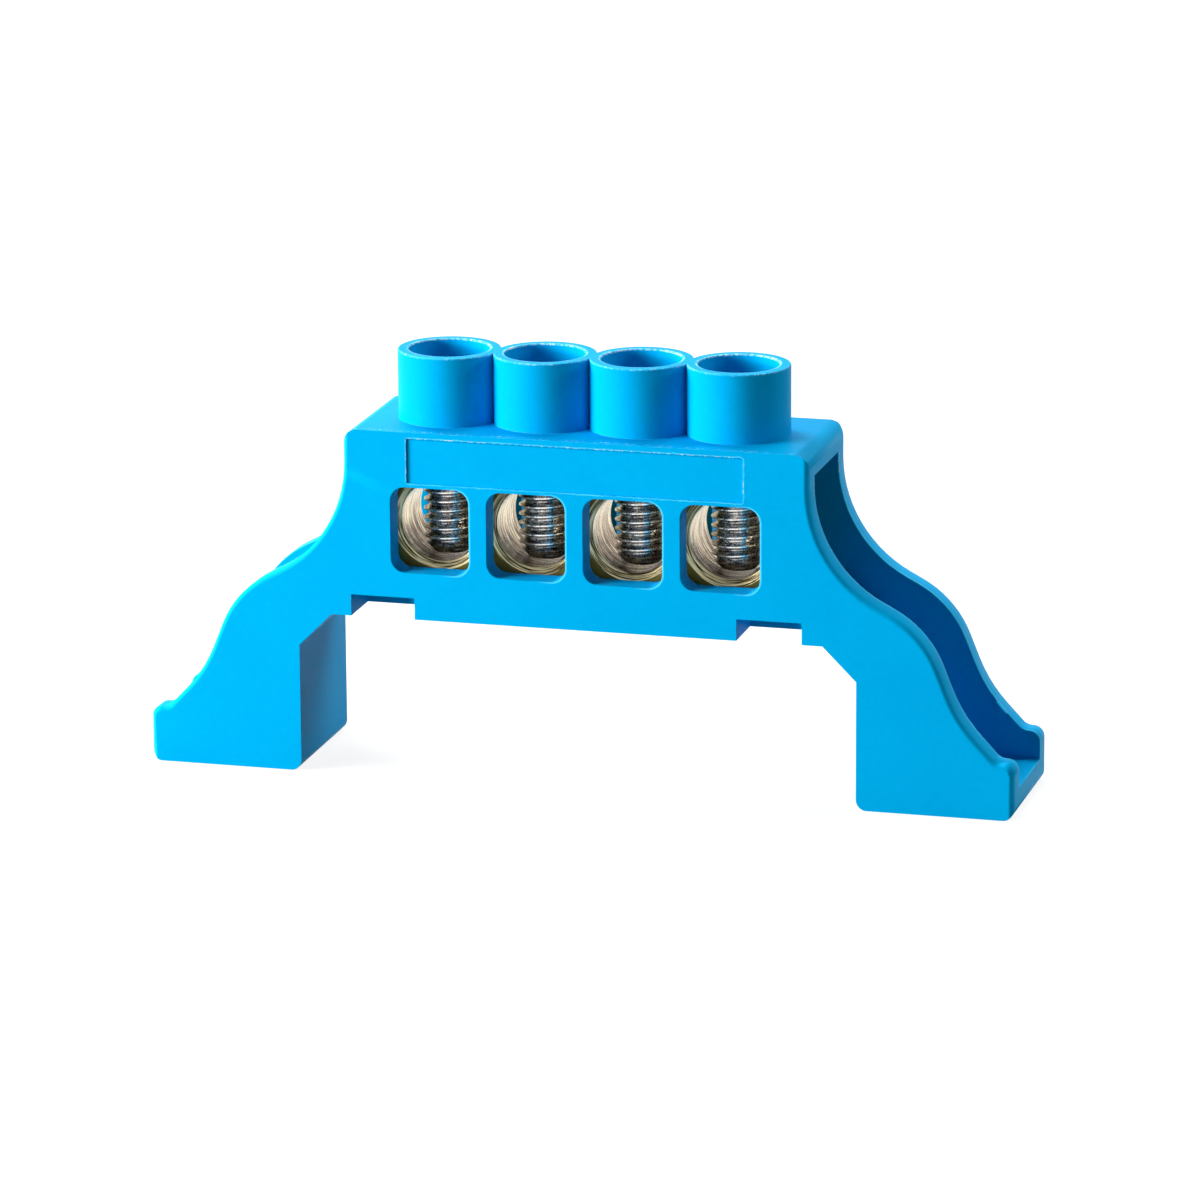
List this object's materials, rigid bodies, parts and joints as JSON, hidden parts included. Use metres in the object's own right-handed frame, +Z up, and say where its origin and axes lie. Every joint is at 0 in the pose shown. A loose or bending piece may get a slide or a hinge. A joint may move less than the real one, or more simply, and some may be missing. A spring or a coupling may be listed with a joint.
{
  "type": "neutral terminal bar",
  "caption": "Cross-drilled brass terminal bar with clamping screws under round collars, in a blue moulded bridge housing that stands on two hollow feet.",
  "frame": {"origin": "centre of the rectangle that the two feet stand in, at their undersides", "axes": "+X along the bar, -Y towards the front face with the label recess, +Z up towards the collars"},
  "size_m": [0.0808, 0.014, 0.0388],
  "materials": {
    "blue_plastic": "satin moulded polyamide with sharp moulding edges",
    "brass": "drawn bar, drilled holes with turning marks",
    "screw_steel": "dark zinc-plated steel"
  },
  "bodies": {
    "housing": {"housing": "blue_plastic", "terminal_bar": "brass"},
    "terminal_screw_1": {"terminal_screw_1": "screw_steel"},
    "terminal_screw_2": {"terminal_screw_2": "screw_steel"},
    "terminal_screw_3": {"terminal_screw_3": "screw_steel"},
    "terminal_screw_4": {"terminal_screw_4": "screw_steel"}
  },
  "joints": [
    {"name": "terminal_screw_1_travel", "type": "slide", "parent": "housing", "child": "terminal_screw_1", "axis": [0, 0, 1], "range_m": [0, 0.0068]},
    {"name": "terminal_screw_2_travel", "type": "slide", "parent": "housing", "child": "terminal_screw_2", "axis": [0, 0, 1], "range_m": [0, 0.0068]},
    {"name": "terminal_screw_3_travel", "type": "slide", "parent": "housing", "child": "terminal_screw_3", "axis": [0, 0, 1], "range_m": [0, 0.0068]},
    {"name": "terminal_screw_4_travel", "type": "slide", "parent": "housing", "child": "terminal_screw_4", "axis": [0, 0, 1], "range_m": [0, 0.0068]}
  ]
}
